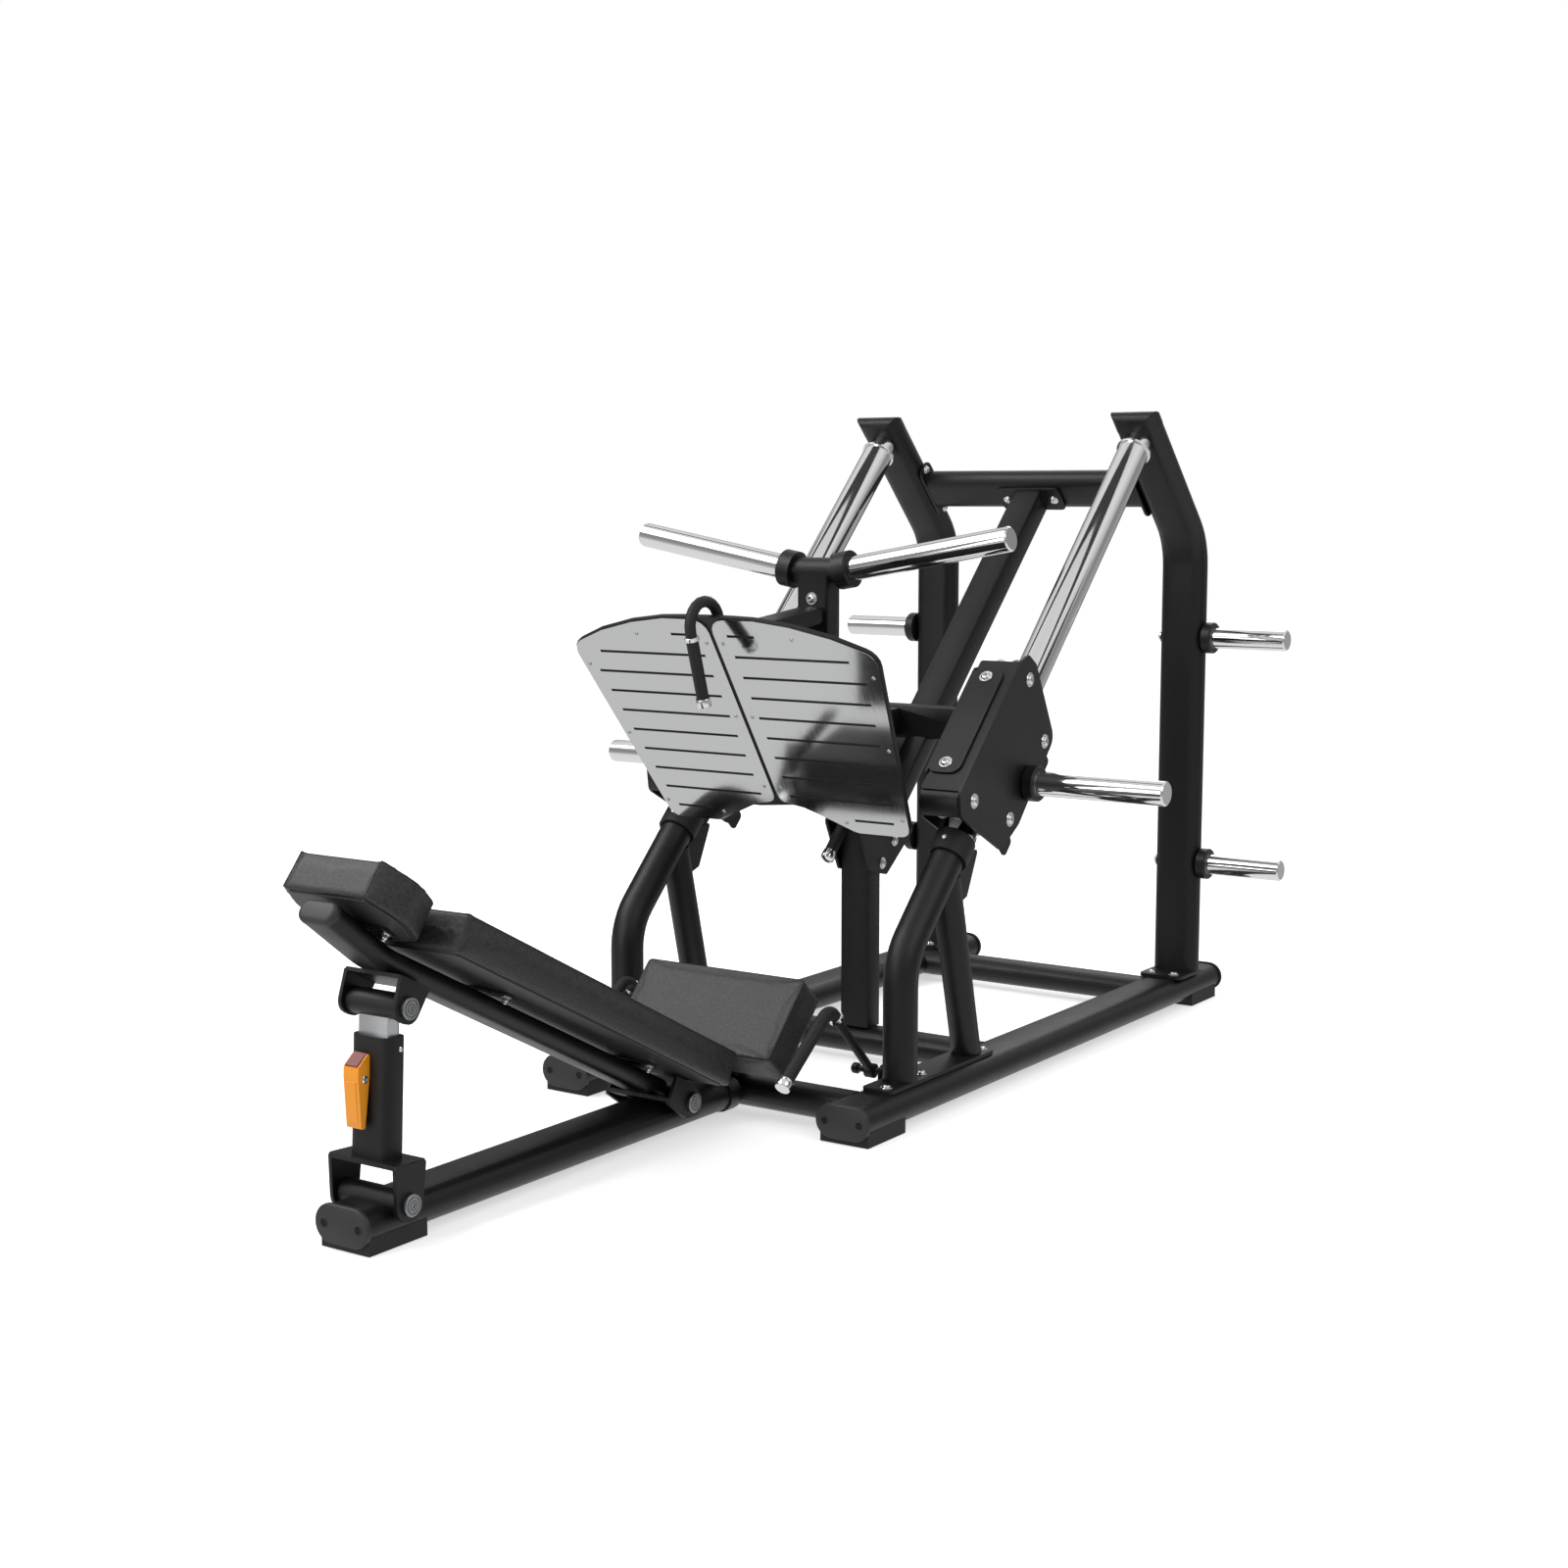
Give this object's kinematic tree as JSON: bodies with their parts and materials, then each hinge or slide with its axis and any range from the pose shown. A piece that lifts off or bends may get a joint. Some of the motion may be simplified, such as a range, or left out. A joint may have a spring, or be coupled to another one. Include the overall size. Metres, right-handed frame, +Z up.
{
  "type": "leg press machine",
  "caption": "Plate-loaded 45-degree leg press: foot plate sled on two inclined guide rails, tilting padded backrest on a telescopic strut, fixed seat, and storage horns.",
  "frame": {"origin": "on the floor, under the centre of the machine's bounding box", "axes": "+Z up; +Y runs from the headrest towards the uprights; +X is to the left of a seated user"},
  "size_m": [1.3806, 2.6016, 1.385],
  "materials": {
    "black_powder_coat": "satin, fine grain",
    "bright_chrome": "mirror",
    "polished_steel": "satin polished",
    "turned_steel": "turned",
    "satin_grey_steel": "satin",
    "black_rubber": "matte",
    "grey_vinyl": "fine grained, satin",
    "roller_nylon": "satin",
    "orange_plastic": "satin"
  },
  "bodies": {
    "frame": {"centre_beam": "black_powder_coat", "left_side_beam": "black_powder_coat", "right_side_beam": "black_powder_coat", "front_cross_beam": "black_powder_coat", "middle_cross_beam": "black_powder_coat", "rear_cross_beam": "black_powder_coat", "centre_foot": "black_rubber", "left_front_foot": "black_rubber", "right_front_foot": "black_rubber", "left_rear_foot": "black_rubber", "right_rear_foot": "black_rubber", "left_upright": "black_powder_coat", "right_upright": "black_powder_coat", "left_leg_frame": "black_powder_coat", "right_leg_frame": "black_powder_coat", "left_rail_collar": "black_rubber", "right_rail_collar": "black_rubber", "left_guide_rail": "bright_chrome", "right_guide_rail": "bright_chrome", "upper_cross_tube": "black_powder_coat", "centre_strut": "black_powder_coat", "centre_post": "black_powder_coat", "left_upper_storage_horn": "bright_chrome", "right_upper_storage_horn": "bright_chrome", "left_lower_storage_horn": "bright_chrome", "right_lower_storage_horn": "bright_chrome", "seat_bracket": "black_powder_coat", "seat_pad": "grey_vinyl"},
    "sled": {"sled_frame": "black_powder_coat", "left_top_horn": "bright_chrome", "right_top_horn": "bright_chrome", "left_housing_outer": "black_powder_coat", "right_housing_outer": "black_powder_coat", "left_housing_inner": "black_powder_coat", "right_housing_inner": "black_powder_coat", "left_sled_horn": "bright_chrome", "right_sled_horn": "bright_chrome", "foot_plate_backing": "black_powder_coat", "left_tread": "polished_steel", "right_tread": "polished_steel"},
    "hook_handle": {"hook_handle": "black_rubber"},
    "left_roller_1": {"left_roller_1": "roller_nylon"},
    "left_roller_2": {"left_roller_2": "roller_nylon"},
    "left_roller_3": {"left_roller_3": "roller_nylon"},
    "left_roller_4": {"left_roller_4": "roller_nylon"},
    "right_roller_1": {"right_roller_1": "roller_nylon"},
    "right_roller_2": {"right_roller_2": "roller_nylon"},
    "right_roller_3": {"right_roller_3": "roller_nylon"},
    "right_roller_4": {"right_roller_4": "roller_nylon"},
    "backrest": {"backrest_tube": "black_powder_coat", "backrest_hinge_pin": "turned_steel", "strut_upper_pin": "turned_steel", "back_pad": "grey_vinyl", "head_pad": "grey_vinyl"},
    "strut_sleeve": {"strut_outer": "black_powder_coat"},
    "strut_rod": {"strut_inner": "satin_grey_steel"},
    "latch_lever": {"latch_lever": "orange_plastic"},
    "left_side_lever": {"left_side_lever": "black_rubber"},
    "right_side_lever": {"right_side_lever": "black_rubber"},
    "stop_lever": {"stop_lever": "black_rubber"}
  },
  "joints": [
    {"name": "sled_slide", "type": "slide", "parent": "frame", "child": "sled", "axis": [0, 0.7071, 0.7071], "range_m": [0, 0.58]},
    {"name": "left_roller_1_spin", "type": "hinge", "parent": "sled", "child": "left_roller_1", "pos_m": [0.333, 0.3186, 0.8305], "axis": [1, 0, 0], "range_deg": [-960, 960]},
    {"name": "left_roller_2_spin", "type": "hinge", "parent": "sled", "child": "left_roller_2", "pos_m": [0.333, 0.38649, 0.69898], "axis": [1, 0, 0], "range_deg": [-960, 960]},
    {"name": "left_roller_3_spin", "type": "hinge", "parent": "sled", "child": "left_roller_3", "pos_m": [0.333, 0.09516, 0.60705], "axis": [1, 0, 0], "range_deg": [-960, 960]},
    {"name": "left_roller_4_spin", "type": "hinge", "parent": "sled", "child": "left_roller_4", "pos_m": [0.333, 0.24153, 0.55402], "axis": [1, 0, 0], "range_deg": [-960, 960]},
    {"name": "right_roller_1_spin", "type": "hinge", "parent": "sled", "child": "right_roller_1", "pos_m": [-0.333, 0.3186, 0.8305], "axis": [1, 0, 0], "range_deg": [-960, 960]},
    {"name": "right_roller_2_spin", "type": "hinge", "parent": "sled", "child": "right_roller_2", "pos_m": [-0.333, 0.38649, 0.69898], "axis": [1, 0, 0], "range_deg": [-960, 960]},
    {"name": "right_roller_3_spin", "type": "hinge", "parent": "sled", "child": "right_roller_3", "pos_m": [-0.333, 0.09516, 0.60705], "axis": [1, 0, 0], "range_deg": [-960, 960]},
    {"name": "right_roller_4_spin", "type": "hinge", "parent": "sled", "child": "right_roller_4", "pos_m": [-0.333, 0.24153, 0.55402], "axis": [1, 0, 0], "range_deg": [-960, 960]},
    {"name": "hook_handle_hinge", "type": "hinge", "parent": "sled", "child": "hook_handle", "pos_m": [0, -0.1902, 0.938], "axis": [-1, 0, 0], "range_deg": [0, 15]},
    {"name": "backrest_hinge", "type": "hinge", "parent": "frame", "child": "backrest", "pos_m": [0, -0.4202, 0.07], "axis": [-1, 0, 0], "range_deg": [-2, 10]},
    {"name": "strut_hinge", "type": "hinge", "parent": "frame", "child": "strut_sleeve", "pos_m": [0, -1.1807, 0.0715], "axis": [-1, 0, 0], "range_deg": [-1.7, 8]},
    {"name": "strut_slide", "type": "slide", "parent": "strut_sleeve", "child": "strut_rod", "axis": [0, 0.0519, 0.9987], "range_m": [-0.027, 0.133]},
    {"name": "latch_lever_hinge", "type": "hinge", "parent": "strut_sleeve", "child": "latch_lever", "pos_m": [-0.012, -1.2048, 0.272], "axis": [1, 0, 0], "range_deg": [0, 5], "stiffness_Nm_per_rad": 1.5, "springref_deg": -8.59},
    {"name": "left_lever_hinge", "type": "hinge", "parent": "frame", "child": "left_side_lever", "pos_m": [0.245, -0.0602, 0.08], "axis": [-1, 0, 0], "range_deg": [0, 35]},
    {"name": "right_lever_hinge", "type": "hinge", "parent": "frame", "child": "right_side_lever", "pos_m": [-0.245, -0.0602, 0.08], "axis": [-1, 0, 0], "range_deg": [0, 35]},
    {"name": "stop_lever_hinge", "type": "hinge", "parent": "frame", "child": "stop_lever", "pos_m": [0, 0.2508, 0.546], "axis": [-1, 0, 0], "range_deg": [0, 25]}
  ],
  "couplings": [
    {"joint": "left_roller_1_spin", "follows": "sled_slide", "rad_per_m": -28.169},
    {"joint": "left_roller_2_spin", "follows": "sled_slide", "rad_per_m": 28.169},
    {"joint": "left_roller_3_spin", "follows": "sled_slide", "rad_per_m": -28.169},
    {"joint": "left_roller_4_spin", "follows": "sled_slide", "rad_per_m": 28.169},
    {"joint": "right_roller_1_spin", "follows": "sled_slide", "rad_per_m": -28.169},
    {"joint": "right_roller_2_spin", "follows": "sled_slide", "rad_per_m": 28.169},
    {"joint": "right_roller_3_spin", "follows": "sled_slide", "rad_per_m": -28.169},
    {"joint": "right_roller_4_spin", "follows": "sled_slide", "rad_per_m": 28.169},
    {"joint": "strut_hinge", "follows": "backrest_hinge", "ratio": 0.785},
    {"joint": "strut_slide", "follows": "backrest_hinge", "m_per_rad": 0.758}
  ]
}
